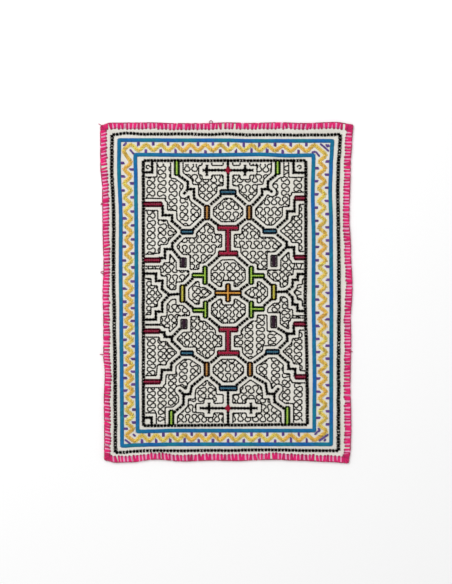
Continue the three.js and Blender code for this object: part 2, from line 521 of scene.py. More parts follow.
def contours(values, level):
    # the lines on which the grid's values equal a level
    high = values > level
    links = {}
    spots = {}

    def spot(j, i, way):
        here = values[j, i]
        share = (level - here) / (values[j + way, i + 1 - way] - here)
        spots[j, i, way] = (gridX[i] + share * cell * (1 - way), gridY[j] + share * cell * way)
        return j, i, way

    mixed = high[:-1, :-1].astype(int) + high[:-1, 1:] + high[1:, :-1] + high[1:, 1:]
    for j, i in zip(*np.nonzero((mixed > 0) & (mixed < 4))):
        # the cell's lower, right, upper and left edges
        edges = (((j, i), (j, i + 1), 0), ((j, i + 1), (j + 1, i + 1), 1),
                 ((j + 1, i), (j + 1, i + 1), 0), ((j, i), (j + 1, i), 1))
        crossed = [spot(*here, way) for here, there, way in edges if high[here] != high[there]]
        for a, b in zip(crossed[::2], crossed[1::2]):
            links.setdefault(a, []).append(b)
            links.setdefault(b, []).append(a)
    lines = []
    left = set(links)
    for key in sorted(links, key=lambda k: len(links[k])):
        if key not in left:
            continue
        left.discard(key)
        run = [key]
        while True:
            ahead = [other for other in links[run[-1]] if other in left]
            if not ahead:
                break
            left.discard(ahead[0])
            run.append(ahead[0])
        if run[0] in links[run[-1]] and len(run) > 2:
            run.append(run[0])
        lines.append(np.array([spots[k] for k in run]))
    return lines


def straightened(line, slack):
    # only the points that a line's shape needs
    keep = {0, len(line) - 1}
    stack = [(0, len(line) - 1)]
    if np.allclose(line[0], line[-1]):
        far = int(np.argmax(np.abs(line - line[0]).sum(1)))
        keep.add(far)
        stack = [(0, far), (far, len(line) - 1)]
    while stack:
        a, b = stack.pop()
        if b - a < 2:
            continue
        run = line[b] - line[a]
        run = run / max(np.linalg.norm(run), 1e-9)
        off = line[a + 1:b] - line[a]
        far = np.abs(off[:, 0] * run[1] - off[:, 1] * run[0])
        worst = int(np.argmax(far))
        if far[worst] > slack:
            keep.add(a + 1 + worst)
            stack += [(a, a + 1 + worst), (a + 1 + worst, b)]
    return line[sorted(keep)]


def insideRuns(line, keep):
    # the stretches of a line whose points are kept
    turns = np.flatnonzero(np.diff(np.concatenate([[0], keep, [0]])))
    return [line[start:end] for start, end in turns.reshape(-1, 2) if end - start > 1]


thinRuns = []
for contour in contours(away, outlineAt):
    if len(contour) < 8:
        continue
    for run in insideRuns(contour, insideFrame(contour[:, 0], contour[:, 1], field["outlineClear"])):
        if measured(run)[-1] > 4:
            thinRuns.append(straightened(run, 0.55))

# The field's compartments, numbered from 1, and the corners of each one's box
meshX, meshY = np.meshgrid(gridX, gridY)
isOpen = (away > outlineAt) & insideFrame(meshX, meshY, field["fillingClear"])
compartment = np.zeros(isOpen.shape, int)
boxes = []
for j, i in zip(*np.nonzero(isOpen)):
    if compartment[j, i]:
        continue
    number = len(boxes) + 1
    compartment[j, i] = number
    found = [(j, i)]
    for a, b in found:
        for c, d in ((a - 1, b), (a + 1, b), (a, b - 1), (a, b + 1)):
            if isOpen[c, d] and not compartment[c, d]:
                compartment[c, d] = number
                found.append((c, d))
    rows, columns = np.transpose(found)
    boxes.append((np.array([gridX[columns.min()], gridY[rows.min()]]),
                  np.array([gridX[columns.max()], gridY[rows.max()]])))


# The filling: chains of loops. Each row names a place in its compartment and where its chains lie, in counts,
# as columns of upright chains or rows of level ones, and how far the chain goes from one loop to the next.
# "above" and "below" keep a row to a part of its compartment, and "shift" makes it start later.
filling = {
    "loop": 0.785,  # a loop's half width, as a share of the way to the next loop
    "reach": 6.1,  # from a chain's middle line to the top of its loops
    "length": 2.7,  # of a stitch
    "half": 1.13,  # half the thread's width
    "tall": 0.5,
    "nudge": 0.3,
    "uneven": 0.035,
    "sweep": 14,  # the points on one loop
}
chains = [
    {"in": (-66, 98), "upright": (-77, -66, -55, -44, -33), "rise": 3.55},
    {"in": (57, 105), "upright": (46, 57.5, 69.7), "rise": 3.5, "above": 96.5},
    {"in": (57, 105), "level": (92, 81.6, 71.7), "rise": 3.65, "below": 97.5},
    {"in": (-66, -98), "upright": (-76.5, -66, -55.5, -44.6, -33.6), "rise": 3.2},
    {"in": (58, -98), "upright": (35, 47.5, 58, 70), "rise": 3.25},
    {"in": (-24, -98), "upright": (-36, -26, -15.5), "rise": 3.2, "above": -109.5},
    {"in": (-24, -98), "level": (-115.5, -125), "rise": 3.3, "below": -108.5},
    {"in": (24, -98), "level": (-96.5, -106, -115.5, -124.5), "rise": 3.75},
    {"in": (0, -77), "level": (-65.5, -74.6, -84.2), "rise": 3.7},
    {"in": (-75, -60), "upright": (-76.8, -66, -57), "rise": 3.15},
    {"in": (70, -58), "upright": (70, 60), "rise": 3.25},
    {"in": (-26, -46), "level": (-23.6, -32.7, -42.4, -51.5, -61), "rise": 3.45},
    {"in": (28, -44), "upright": (10.6, 21, 32.4, 44), "rise": 3.2},
    {"in": (-55, -22), "level": (-15.5, -25.5, -34.5), "rise": 3.45},
    {"in": (57, -20), "upright": (48, 58, 68), "rise": 3.15},
    {"in": (0, -20), "level": (-11, -20.5, -29.5), "rise": 3.4},
    {"in": (-76, -3), "upright": (-77.3, -68), "rise": 3.1},
    {"in": (-30, -1), "upright": (-31.6, -22.5), "rise": 3.45, "shift": 2.2},
    {"in": (30, 0), "level": (-8.5, 0.4, 9.5), "rise": 3.6},
    {"in": (71, 0), "upright": (71,), "rise": 3.3},
    {"in": (-55, 18), "level": (34, 24.4, 14.4, 5), "rise": 3.55},
    {"in": (56, 20), "level": (35.5, 26, 16.5, 7.5), "rise": 3.5},
    {"in": (0, 20), "level": (26.4, 16.6, 7), "rise": 3.65},
    {"in": (27, 47), "level": (67.5, 58, 48.1, 37.8, 28), "rise": 3.7},
    {"in": (-27, 47), "level": (63.9, 54.4, 44.3, 34.4, 25), "rise": 3.65},
    {"in": (-72, 60), "upright": (-76.8, -65.8, -56), "rise": 3.5},
    {"in": (68, 62), "upright": (69.8, 60.5), "rise": 3.25},
    {"in": (0, 82), "level": (97, 87.3, 77.2, 67.5), "rise": 3.7},
    {"in": (-25, 108), "level": (125.5, 114.5, 105.2, 95.6), "rise": 3.8},
    {"in": (24, 108), "level": (125, 114.6, 104.2, 94.4), "rise": 3.7},
]


def chain(start, end, rise, firstSide):
    # one chain's line of loops, which touch across the chain's middle line
    run = end - start
    length = np.linalg.norm(run)
    run = run / length
    across = np.array([-run[1], run[0]])
    count = int(length / rise) + 1
    radius = filling["loop"] * rise
    radii = radius * (1 + chance.normal(0, filling["uneven"], count))
    swing = math.sqrt(4 * radius ** 2 - rise ** 2) / 2
    nudge = chance.normal(0, filling["nudge"], (count, 2))
    ways = firstSide * np.where(np.arange(count) % 2, 1, -1)
    middles = start + run * rise * (np.arange(count)[:, None] + 0.5) + across * swing * ways[:, None] + nudge
    points = []
    for step in range(1, count - 1):
        here, before, after = middles[step], middles[step - 1], middles[step + 1]
        leanBefore = math.acos(min(1, (radii[step - 1] + radii[step]) / np.linalg.norm(here - before)))
        leanAfter = math.acos(min(1, (radii[step + 1] + radii[step]) / np.linalg.norm(after - here)))
        turnWay = -ways[step]
        begin = math.atan2(*(before - here)[::-1]) + turnWay * leanBefore
        end = math.atan2(*(after - here)[::-1]) - turnWay * leanAfter
        while (end - begin) * turnWay < 0:
            end += turnWay * 2 * math.pi
        sweep = np.linspace(begin, end, filling["sweep"])
        points += [here + radii[step] * np.array([math.cos(a), math.sin(a)]) for a in sweep]
    points = np.array(points)
    high = (points - start) @ across
    return points + across * high[:, None] * (filling["reach"] / (swing + radius) - 1)


chainRuns = []
for row in chains:
    seed = chartPlace(*row["in"])
    number = compartment[np.searchsorted(gridY, seed[1]), np.searchsorted(gridX, seed[0])]
    if not number:
        print("no compartment at", row["in"])
        continue
    low, high = boxes[number - 1]
    level = "level" in row
    flat, cross = (0, 1) if level else (1, 0)
    rise = row["rise"] * field["count"]
    lowest = chartPlace(0, row.get("above", -200))[1]
    highest = chartPlace(0, row.get("below", 200))[1]
    begin = low[flat] - rise * 2.5 + row.get("shift", 0) * field["count"]
    if not level:
        begin = max(begin, lowest - rise * 2.5)
    for order, place in enumerate(row["level" if level else "upright"]):
        start, end = np.zeros(2), np.zeros(2)
        start[flat], end[flat] = begin, high[flat] + rise * 3
        start[cross] = end[cross] = chartPlace(place, place)[cross]
        line = rounded(evenPoints(chain(start, end, rise, 1 if order % 2 else -1), 0.6), 2)
        i = np.clip(np.searchsorted(gridX, line[:, 0]), 0, len(gridX) - 1)
        j = np.clip(np.searchsorted(gridY, line[:, 1]), 0, len(gridY) - 1)
        keep = (compartment[j, i] == number) & (line[:, 1] > lowest) & (line[:, 1] < highest)
        chainRuns += [run for run in insideRuns(line, keep) if measured(run)[-1] > 2.5]

print("the field has", len(boxes), "compartments,", len(thinRuns), "outlines,", len(chainRuns), "chain runs")

print("stage: the lie of the cloth")

lie = {
    "under": 0.45,  # the reverse stitches lift the cloth
    "thick": 0.6,
    "hemTop": 2.15,
    "hemUnder": 0.95,
    "hemFrom": 11,  # the lifted hem comes down between this inset and the next
    "hemTo": 16,
    "hemDepth": 12,  # how far the turned-in part reaches
    "puff": 0.32,  # how far bare cloth stands between stitches
    "wander": 0.25,
    "hemRelief": 0.45,  # the share of both that shows on the thick hem
}

# Where thread lies, on a grid over the whole cloth
puffX = np.arange(-196, 197, 1.0)
puffY = np.arange(-262, 263, 1.0)
threaded = np.zeros((len(puffY), len(puffX)))


def press(line, weight):
    dense = evenPoints(line, 0.7)
    i = np.clip(np.round(dense[:, 0] - puffX[0]).astype(int), 0, len(puffX) - 1)
    j = np.clip(np.round(dense[:, 1] - puffY[0]).astype(int), 0, len(puffY) - 1)
    threaded[j, i] = np.maximum(threaded[j, i], weight)


for line in borderSides + outerBandSides + innerBandSides + frameSides:
    for shift in (-1, 0, 1):
        press(line + shift, 1)
press(waveRun, 0.9)
for run in networkRuns:
    press(run, 1)
for bar in bars:
    for run in bar["runs"]:
        for shift in (-2, 0, 2):
            press(np.array(run) + shift, 1)
for run in thinRuns + chainRuns:
    press(run, 0.75)


def softened(values, times, size):
    # a box blur, repeated
    for _ in range(times):
        for axis in (0, 1):
            padded = np.concatenate([np.repeat(values.take([0], axis), size, axis), values,
                                     np.repeat(values.take([-1], axis), size, axis)], axis)
            total = np.cumsum(padded, axis)
            wide = 2 * size
            upper = total.take(range(wide, total.shape[axis]), axis)
            lower = total.take(range(0, total.shape[axis] - wide), axis)
            values = (upper - lower) / wide
    return values


pressed = np.clip(softened(threaded, 2, 1) * 1.25, 0, 1)
wandering = softened(chance.normal(0, 1, threaded.shape), 3, 9)
wandering = wandering / np.abs(wandering).max()
relief = lie["puff"] * (1 - pressed) + lie["wander"] * (wandering + 1) / 2


def onGrid(values, x, y):
    # a grid's value at any places
    u = np.clip(x - puffX[0], 0, len(puffX) - 1.001)
    v = np.clip(y - puffY[0], 0, len(puffY) - 1.001)
    i, j = u.astype(int), v.astype(int)
    u, v = u - i, v - j
    low = values[j, i] * (1 - u) + values[j, i + 1] * u
    high = values[j + 1, i] * (1 - u) + values[j + 1, i + 1] * u
    return low * (1 - v) + high * v


def clothTop(x, y):
    # the height of the cloth's upper face
    inset = insetAt(x, y)
    fallen = smooth(inset, lie["hemFrom"], lie["hemTo"])
    base = blend(lie["hemTop"], lie["under"] + lie["thick"], fallen)
    return base + onGrid(relief, x, y) * blend(lie["hemRelief"], 1, fallen)


class Skein:
    # gathers stitches as short tubes and makes one mesh of them
    def __init__(self, name, sides):
        self.name = name
        self.sides = sides
        self.count = 0
        self.points = []
        self.dyes = []
        self.quads = []
        self.quadMaps = []
        self.caps = []
        self.capMaps = []

    def lay(self, spine, wide, tall, dye, sideways=None):
        # spine holds stitches x points x 3, and wide and tall are half the thread's width and height
        spine = np.asarray(spine, float)
        shape = spine.shape[:2]
        sides = self.sides
        dye = np.asarray(dye, float)
        dye = np.broadcast_to(dye[:, None] if dye.ndim == 2 else dye, (*shape, 3))
        run = unit(np.gradient(spine, axis=1))
        if sideways is None:
            side = unit(np.cross(run, (0.0, 0.0, 1.0)))
        else:
            side = unit(np.broadcast_to(sideways[:, None], run.shape))
        up = np.cross(side, run)
        turn = np.arange(sides)[:, None] / sides * 2 * math.pi
        around = (np.broadcast_to(wide, shape)[..., None, None] * np.cos(turn) * side[:, :, None]
                  + np.broadcast_to(tall, shape)[..., None, None] * np.sin(turn) * up[:, :, None])
        self.points.append((spine[:, :, None] + around).reshape(-1, 3))
        self.dyes.append(np.repeat(dye[:, :, None], sides, axis=2).reshape(-1, 3))
        index = self.count + np.arange(spine[..., 0].size * sides).reshape(*shape, sides)
        self.count += index.size
        ahead = np.roll(index, -1, axis=2)
        quads = np.stack([index[:, :-1], index[:, 1:], ahead[:, 1:], ahead[:, :-1]], axis=-1)
        self.quads.append(quads.reshape(-1, 4))
        self.caps.append(np.concatenate([index[:, 0], index[:, -1, ::-1]]))
        # mapped by how far along its thread each point lies, from a start of its own, and how far round it
        steps = np.linalg.norm(np.diff(spine, axis=1), axis=2)
        along = np.concatenate([np.zeros((shape[0], 1)), np.cumsum(steps, axis=1)], axis=1)
        along = along + chance.uniform(0, 50, (shape[0], 1))
        near = np.broadcast_to(along[:, :-1, None], quads.shape[:3])
        far = np.broadcast_to(along[:, 1:, None], quads.shape[:3])
        low = np.broadcast_to(np.arange(sides) / sides, quads.shape[:3])
        high = low + 1 / sides
        self.quadMaps.append(np.stack([near, low, far, low, far, high, near, high], axis=-1))
        ends = np.concatenate([along[:, 0], along[:, -1]])[:, None].repeat(sides, axis=1)
        self.capMaps.append(np.stack([ends, np.full(ends.shape, 0.5)], axis=-1))

    def make(self, finish):
        quads, caps = np.concatenate(self.quads), np.concatenate(self.caps)
        corners = np.concatenate([quads.ravel(), caps.ravel()])
        starts = np.concatenate([np.arange(len(quads)) * 4, quads.size + np.arange(len(caps)) * self.sides])
        places = np.concatenate([maps.ravel() for maps in self.quadMaps + self.capMaps])
        shades = np.concatenate(self.dyes)
        mesh = bpy.data.meshes.new(self.name)
        mesh.vertices.add(self.count)
        mesh.vertices.foreach_set("co", (np.concatenate(self.points) * mm).ravel())
        mesh.loops.add(len(corners))
        mesh.loops.foreach_set("vertex_index", corners)
        mesh.polygons.add(len(starts))
        mesh.polygons.foreach_set("loop_start", starts)
        mesh.uv_layers.new(name="thread").data.foreach_set("uv", places)
        dye = mesh.attributes.new("dye", "FLOAT_COLOR", "POINT")
        dye.data.foreach_set("color", np.hstack([shades, np.ones((len(shades), 1))]).ravel())
        mesh.update(calc_edges=True)
        mesh.validate()
        mesh.shade_smooth()
        mesh.materials.append(finish)
        piece = bpy.data.objects.new(self.name, mesh)
        bpy.context.scene.collection.objects.link(piece)
        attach(piece, "root")
        print("made", self.name, "with", 2 * len(quads) + (self.sides - 2) * len(caps), "triangles")
        return piece


# How far hand work strays, in millimetres, and how much lighter or darker one stitch is than the next
stray = {"step": 0.12, "plait": 0.14, "band": 0.1, "back": 0.06, "reverse": 0.1}
spread = {"plait": 0.12, "back": 0.15, "reverse": 0.12}

# A stitch that rises from the cloth and dips back into it: its height and girth along its length
archAt = np.array([0, 0.13, 0.5, 0.87, 1])
archLift = np.array([-0.5, 0.65, 1, 0.65, -0.5])
archGirth = np.array([0.6, 0.95, 1, 0.95, 0.6])


def dipStitches(skein, start, end, wide, tall, dye, lift=0.0):
    # straight stitches that rise from the cloth and dip back into it
    start, end = np.asarray(start, float), np.asarray(end, float)
    flat = start[:, None] + (end - start)[:, None] * archAt[:, None]
    height = clothTop(flat[..., 0], flat[..., 1]) + tall * archLift + lift * (archLift > 0)
    skein.lay(np.dstack([flat, height]), wide * archGirth, tall * archGirth, dye)


def dyed(colour, count, spread):
    # one dye, a little lighter or darker at each stitch
    return np.clip(colour * (1 + chance.normal(0, spread, (count, 1))), 0, 1)


def crossings(skein, nodes, choice, sway, dyeOf, lifts):
    # two rows of slanting stitches along a line's steps, the second over the first, each dyed as it is laid
    run = headings(nodes)
    side = leftOf(run) * choice["width"] / 2
    on = run[:-1] * choice["step"] * choice["past"]
    for row, way in enumerate((-1, 1)):
        start = nodes[:-1] + way * side[:-1] - on + sway[2 * row]
        end = nodes[1:] - way * side[1:] + on + sway[2 * row + 1]
        dipStitches(skein, start, end, choice["half"], choice["tall"], dyeOf(row), lifts[row])


# Each kind of plait: its width, the length of its steps, how far its crossings reach past each step as a
# share of it, half its thread's width and height, half the width of the straight stitch underneath and the
# share of steps that have none, so that the cloth shows there
plaits = {
    "border ends": {"width": 4.4, "step": 5.1, "past": -0.2, "half": 0.98, "tall": 0.8, "under": 0.9,
                    "bare": 0.1},
    "border sides": {"width": 5.4, "step": 5.1, "past": -0.12, "half": 1.0, "tall": 0.8, "under": 1.05,
                     "bare": 0.1},
    "frame ends": {"width": 4.5, "step": 5.0, "past": -0.18, "half": 1.02, "tall": 0.8, "under": 1.0,
                   "bare": 0.05},
    "frame sides": {"width": 4.9, "step": 5.0, "past": -0.13, "half": 1.05, "tall": 0.8, "under": 1.1,
                    "bare": 0.05},
    "network": {"width": 3.5, "step": 4.7, "past": 0.12, "half": 1.1, "tall": 0.66, "under": 1.05,
                "bare": 0.0},
    "slanting": {"width": 3.9, "step": 4.8, "past": -0.18, "half": 1.08, "tall": 0.75, "under": 0.85,
                 "bare": 0.05},
}


def plait(skein, line, kind, colour):
    # a plaited line: at each step two stitches cross over a straight one
    choice = plaits[kind]
    tall = choice["tall"]
    nodes = evenPoints(line, choice["step"])
    nodes = nodes + chance.normal(0, stray["step"], nodes.shape)
    count = len(nodes) - 1
    laid = chance.uniform(0, 1, count) >= choice["bare"]
    # the straight stitch underneath is painted darker, as shade under the crossing stitches
    dipStitches(skein, nodes[:-1][laid], nodes[1:][laid], choice["under"], tall * 0.8,
                dyed(colour * 0.8, int(laid.sum()), spread["plait"]))
    crossings(skein, nodes, choice, chance.normal(0, stray["plait"], (4, count, 2)),
              lambda row: dyed(colour, count, spread["plait"]), (0.15, 0.15 + tall * 0.75))


def bandStitches(skein, line, choice, colourAt):
    # slanting stitches that cross in a ridge along the band
    nodes = evenPoints(line, choice["step"])
    colours = np.array([colourAt(point) for point in nodes[:-1]])
    sway = chance.normal(0, stray["band"], (4, len(colours), 2))
    shade = 1 + chance.normal(0, choice["spread"], (2, len(colours), 1))
    crossings(skein, nodes, choice, sway, lambda row: np.clip(colours * shade[row], 0, 1),
              (0.05, 0.05 + choice["tall"] * 0.5))


def backStitches(skein, line, choice, colour):
    # short stitches one after another along a line that may bend
    total = measured(line)[-1]
    count = max(1, int(round(total / choice["length"])))
    ends = np.linspace(0, total, count + 1)
    gap = 0.06 * choice["length"]
    places = (ends[:-1, None] + gap) + (np.diff(ends)[:, None] - 2 * gap) * np.array([0, 0.3, 0.7, 1])
    flat = pointsAt(line, places.ravel()).reshape(count, 4, 2)
    flat = flat + chance.normal(0, stray["back"], (count, 1, 2))
    lift = np.array([-0.15, 0.75, 0.75, -0.15])
    height = clothTop(flat[..., 0], flat[..., 1]) + choice["tall"] * lift + choice.get("raised", 0)
    girth = np.array([0.8, 1, 1, 0.8])
    skein.lay(np.dstack([flat, height]), choice["half"] * girth, choice["tall"] * girth,
              dyed(colour, count, spread["back"]))


class Wire:
    # a socket that can be reckoned with: each operator adds its Math node
    def __init__(self, finish, socket):
        self.finish = finish
        self.socket = socket

    def reckon(self, operation, *values):
        return self.finish.add("ShaderNodeMath", {"operation": operation}, dict(enumerate(values)))

    def __add__(self, other):
        return self.reckon("ADD", self, other)

    def __radd__(self, other):
        return self.reckon("ADD", other, self)

    def __sub__(self, other):
        return self.reckon("SUBTRACT", self, other)

    def __rsub__(self, other):
        return self.reckon("SUBTRACT", other, self)

    def __mul__(self, other):
        return self.reckon("MULTIPLY", self, other)

    def __rmul__(self, other):
        return self.reckon("MULTIPLY", other, self)

    def __abs__(self):
        return self.reckon("ABSOLUTE", self)

    def sine(self):
        return self.reckon("SINE", self)

    def between(self, low, high):
        # 0 below low and 1 above high
        inputs = {"Value": self, "From Min": low, "From Max": high}
        return self.finish.add("ShaderNodeMapRange", {"interpolation_type": "SMOOTHSTEP"}, inputs)


class Finish:
    # a material that is built from wires
    def __init__(self, name):
        self.material = bpy.data.materials.new(name)
        self.material.use_nodes = True
        self.nodes = self.material.node_tree.nodes
        self.links = self.material.node_tree.links
        self.shader = self.nodes["Principled BSDF"]

    def add(self, kind, settings=None, inputs=None, out=0):
        node = self.nodes.new(kind)
        for name, value in (settings or {}).items():
            setattr(node, name, value)
        for name, value in (inputs or {}).items():
            self.put(node.inputs[name], value)
        return Wire(self, node.outputs[out])

    def put(self, socket, value):
        if isinstance(value, Wire):
            self.links.new(value.socket, socket)
        else:
            socket.default_value = value

    def place(self):
        # Object coordinates
        return self.add("ShaderNodeTexCoord", out=3)

    def parts(self, vector):
        first = self.add("ShaderNodeSeparateXYZ", None, {0: vector})
        return first, Wire(self, first.socket.node.outputs[1])

    def noise(self, place, scale, detail):
        return self.add("ShaderNodeTexNoise", None, {"Vector": place, "Scale": scale, "Detail": detail})

    def mix(self, share, low, high, way="MIX"):
        # Mix's colour sockets are its seventh and eighth, and its colour result its third
        settings = {"data_type": "RGBA", "blend_type": way}
        return self.add("ShaderNodeMix", settings, {0: share, 6: low, 7: high}, out=2)

    def shaded(self, colour, shade):
        grey = self.add("ShaderNodeCombineXYZ", None, {0: shade, 1: shade, 2: shade})
        return self.mix(1.0, colour, grey, "MULTIPLY")

    def bump(self, height, strength, distance):
        inputs = {"Strength": strength, "Distance": distance, "Height": height}
        return self.add("ShaderNodeBump", None, inputs)

    def shine(self, **values):
        names = {"colour": "Base Color", "roughness": "Roughness", "normal": "Normal",
                 "sheen": "Sheen Weight", "sheenRoughness": "Sheen Roughness",
                 "specular": "Specular IOR Level"}
        for name, value in values.items():
            self.put(self.shader.inputs[names[name]], value)
        return self.material


# Most threads: turns of ply in each millimetre, how dark the painted shade in the grooves is, roughness,
# sheen and specular level, how deep the relief is in metres, and the scale of the fuzz. Then what each thread
# has that differs.
usualThread = {"twist": 2.6, "grooveShade": 0.22, "rough": 0.6, "sheen": 0.1, "specular": 0.15, "relief": 0.0002,
               "fuzz": 1800}
threads = {
    "edging yarn": {"twist": 1.5, "rough": 0.85, "sheen": 0.35, "relief": 0.0005, "fuzz": 900},
    "black thread": {"twist": 2.4, "grooveShade": 0.3, "rough": 0.75, "sheen": 0.0, "specular": 0.03},
    "blue thread": {},
    "yellow thread": {"grooveShade": 0.2},
    "purple thread": {},
    "bar thread": {"rough": 0.58},
}


def threadFinish(name):
    # twisted thread: painted shade in the grooves between its plies, fine fuzz, and its dye from the stitch
    choice = {**usualThread, **threads[name]}
    finish = Finish(name)
    alongThread, roundThread = finish.parts(finish.add("ShaderNodeUVMap", {"uv_map": "thread"}))
    turned = alongThread * (choice["twist"] * 2 * math.pi) + roundThread * (4 * math.pi)
    ply = turned.sine() * 0.5 + 0.5
    place = finish.place()
    fuzz = finish.noise(place, choice["fuzz"], 3.0)
    patch = finish.noise(place, 60.0, 2.0)
    dye = finish.add("ShaderNodeAttribute", {"attribute_name": "dye"})
    # painted shade: the grooves between the plies are darker
    shade = (1 - choice["grooveShade"]) + ply * choice["grooveShade"]
    colour = finish.shaded(dye, shade * (0.86 + fuzz * 0.28) * (0.9 + patch * 0.2))
    normal = finish.bump(ply * 0.7 + fuzz * 0.5, 0.7, choice["relief"])
    return finish.shine(colour=colour, roughness=choice["rough"] + (fuzz - 0.5) * 0.2, normal=normal,
                        sheen=choice["sheen"], sheenRoughness=0.5, specular=choice["specular"])


cotton = {
    **eyeColours(colour=(234, 231, 222), shade=(214, 210, 198), slub=(246, 244, 237)),
    "threadsApart": 0.8,
    "pull": 1.6,  # how far the threads wander, in radians of their weave
    "pullScale": 120.0,
    "mottleScale": 22.0,
    "relief": 0.00025,  # in metres
}


def cottonFinish():
    # plain weave: over and under threads, uneven slubs and a soft mottle, with painted light on the threads'
    # crests and painted shade between them
    finish = Finish("plain-woven cotton")
    place = finish.place()
    pull = (finish.noise(place, cotton["pullScale"], 2.0) - 0.5) * cotton["pull"]
    turnsEach = math.pi / (cotton["threadsApart"] * mm)
    sineX, sineY = [(part * turnsEach + pull).sine() for part in finish.parts(place)]
    weave = sineX * sineY * 0.5 + 0.5
    raised = abs(sineX) * abs(sineY)
    slubs = []
    for stretch in ((30.0, 900.0, 1.0), (900.0, 30.0, 1.0)):
        stretched = finish.add("ShaderNodeMapping", None, {"Vector": place, "Scale": stretch})
        slubs.append(finish.noise(stretched, 1.0, 1.0))
    slub = slubs[0] * 0.5 + slubs[1] * 0.5
    mottle = finish.noise(place, cotton["mottleScale"], 3.0)
    tint = (mottle * 0.5 + slub * 0.7 - 0.1).between(0.35, 0.75)
    ground = finish.mix(tint, (*cotton["shade"], 1), (*cotton["slub"], 1))
    body = finish.mix(0.55, ground, (*cotton["colour"], 1))
    # painted light and shade: the crests of the weave lighter, the hollows between the threads darker
    colour = finish.shaded(body, 0.83 + raised * 0.12 + weave * 0.08)
    normal = finish.bump(weave * 0.6 + raised * 0.4 + slub * 0.5, 0.6, cotton["relief"])
    return finish.shine(colour=colour, roughness=0.88 + slub * 0.08, normal=normal, sheen=0.15,
                        sheenRoughness=0.6, specular=0.2)


print("stage: the ground cloth")

clothGrid = {"step": 3.0, "edgeRows": (1.3, 2.6, 4.6, 7, 9.4, 11, 11.9, 12.1, 13.2, 14.6, 16)}


def gridLines(half):
    # the places of the grid's lines over one width of the cloth, close together at the hem
    outer = half - np.array(clothGrid["edgeRows"])
    inner = half - clothGrid["edgeRows"][-1]
    count = int(round(2 * inner / clothGrid["step"]))
    middle = np.linspace(-inner, inner, count + 1)[1:-1]
    return np.concatenate([-outer, middle, outer[::-1]])


def groundCloth():
    # a grid for the upper face and one for the lower, joined by a round edge
    linesX, linesY = gridLines(halfWidth), gridLines(halfLength)
    bpy.ops.mesh.primitive_grid_add(x_subdivisions=len(linesX) - 1, y_subdivisions=len(linesY) - 1, size=1)
    cloth = bpy.context.object
    cloth.name = cloth.data.name = "ground_cloth_woven"
    bpy.ops.object.mode_set(mode="EDIT")
    bpy.ops.mesh.select_all(action="SELECT")
    bpy.ops.mesh.extrude_region_move()  # leaves the first face below and lifts its copy
    bpy.ops.object.mode_set(mode="OBJECT")
    mesh = cloth.data
    co = np.zeros(len(mesh.vertices) * 3)
    mesh.vertices.foreach_get("co", co)
    co = co.reshape(-1, 3)
    column = np.round((co[:, 0] + 0.5) * (len(linesX) - 1)).astype(int)
    row = np.round((co[:, 1] + 0.5) * (len(linesY) - 1)).astype(int)
    trueX, trueY = linesX[column], linesY[row]
    x, y = settle(trueX, trueY)
    inset = np.minimum(halfWidth - np.abs(trueX), halfLength - np.abs(trueY))
    upper = clothTop(x, y)
    lower = np.where(inset < lie["hemDepth"], lie["hemUnder"], upper - lie["thick"])
    isUpper = np.zeros(len(co), bool)
    isUpper[[v.index for v in mesh.vertices if v.select]] = True
    height = np.where(isUpper, upper, lower)
    mesh.vertices.foreach_set("co", (np.stack([x, y, height], axis=-1) * mm).ravel())
    mesh.update()
    return cloth


cloth = groundCloth()
bpy.ops.object.mode_set(mode="EDIT")
bpy.ops.mesh.select_all(action="SELECT")
bpy.ops.mesh.normals_make_consistent(inside=False)
bpy.ops.object.mode_set(mode="OBJECT")
cloth.data.shade_smooth()
cloth.data.materials.append(cottonFinish())
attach(cloth, "root")
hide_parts("ground_cloth")

print("stage: border, frame and network")

black = eyeColour(9, 8, 8)
outlineBlack = eyeColour(15, 13, 12)

borderStitches = Skein("border_stitches", 6)
frameStitches = Skein("frame_stitches", 6)
for index, way in enumerate(("ends", "sides", "ends", "sides")):
    plait(borderStitches, borderSides[index], "border " + way, black)
    plait(frameStitches, frameSides[index], "frame " + way, black)
networkStitches = Skein("network_stitches", 6)
for run in networkRuns:
    for start, end in zip(run, run[1:]):
        heading = (end - start) / np.linalg.norm(end - start)
        slanting = min(abs(heading)) > 0.3
        on = heading * (1.2 if slanting else 1.0)
        kept = clipToFrame(np.array([start - on, end + on]), 0.5)
        if len(kept) > 3:
            plait(networkStitches, kept, "slanting" if slanting else "network", black)
blackThread = threadFinish("black thread")
borderPiece = borderStitches.make(blackThread)
framePiece = frameStitches.make(blackThread)
networkPiece = networkStitches.make(blackThread)

print("stage: thin outlines and filling")

outlineStitches = Skein("outline_stitches", 4)
for run in thinRuns:
    for i in range(len(run) - 1):
        backStitches(outlineStitches, run[i:i + 2], {**filling, "length": 3.2}, outlineBlack)
outlinePiece = outlineStitches.make(blackThread)

fillStitches = Skein("filling_stitches", 4)
for run in chainRuns + curls:
    backStitches(fillStitches, run, filling, outlineBlack)
fillPiece = fillStitches.make(blackThread)

print("stage: blue bands")

blueDyes = eyeColours(deep=(10, 110, 184), teal=(6, 132, 160))
blueBand = {"width": 5.7, "step": 2.1, "past": 0.55, "half": 1.05, "tall": 0.6, "spread": 0.08}


def blueAt(point):
    x, y = point
    share = 0.5 + 0.5 * math.sin(x * 0.11 + 1.3 * math.sin(y * 0.05)) * math.cos(y * 0.07)
    return blend(blueDyes["deep"], blueDyes["teal"], share)


blueThread = threadFinish("blue thread")
for name, sides in (("outer_band_stitches", outerBandSides), ("inner_band_stitches", innerBandSides)):
    band = Skein(name, 4)
    for line in sides:
        bandStitches(band, line, blueBand, blueAt)
    band.make(blueThread)

print("stage: yellow wave and purple ticks")

waveDyes = eyeColours(yellow=(254, 214, 106), olive=(246, 221, 114), orange=(255, 200, 98),
                      ridge=(214, 166, 54))


def waveAt(point):
    x, y = point
    share = math.sin(x * 0.045 + y * 0.06) + 0.5 * math.sin(x * 0.13 - y * 0.11)
    return blend(waveDyes["yellow"], waveDyes["olive" if share > 0 else "orange"], min(1, abs(share)))


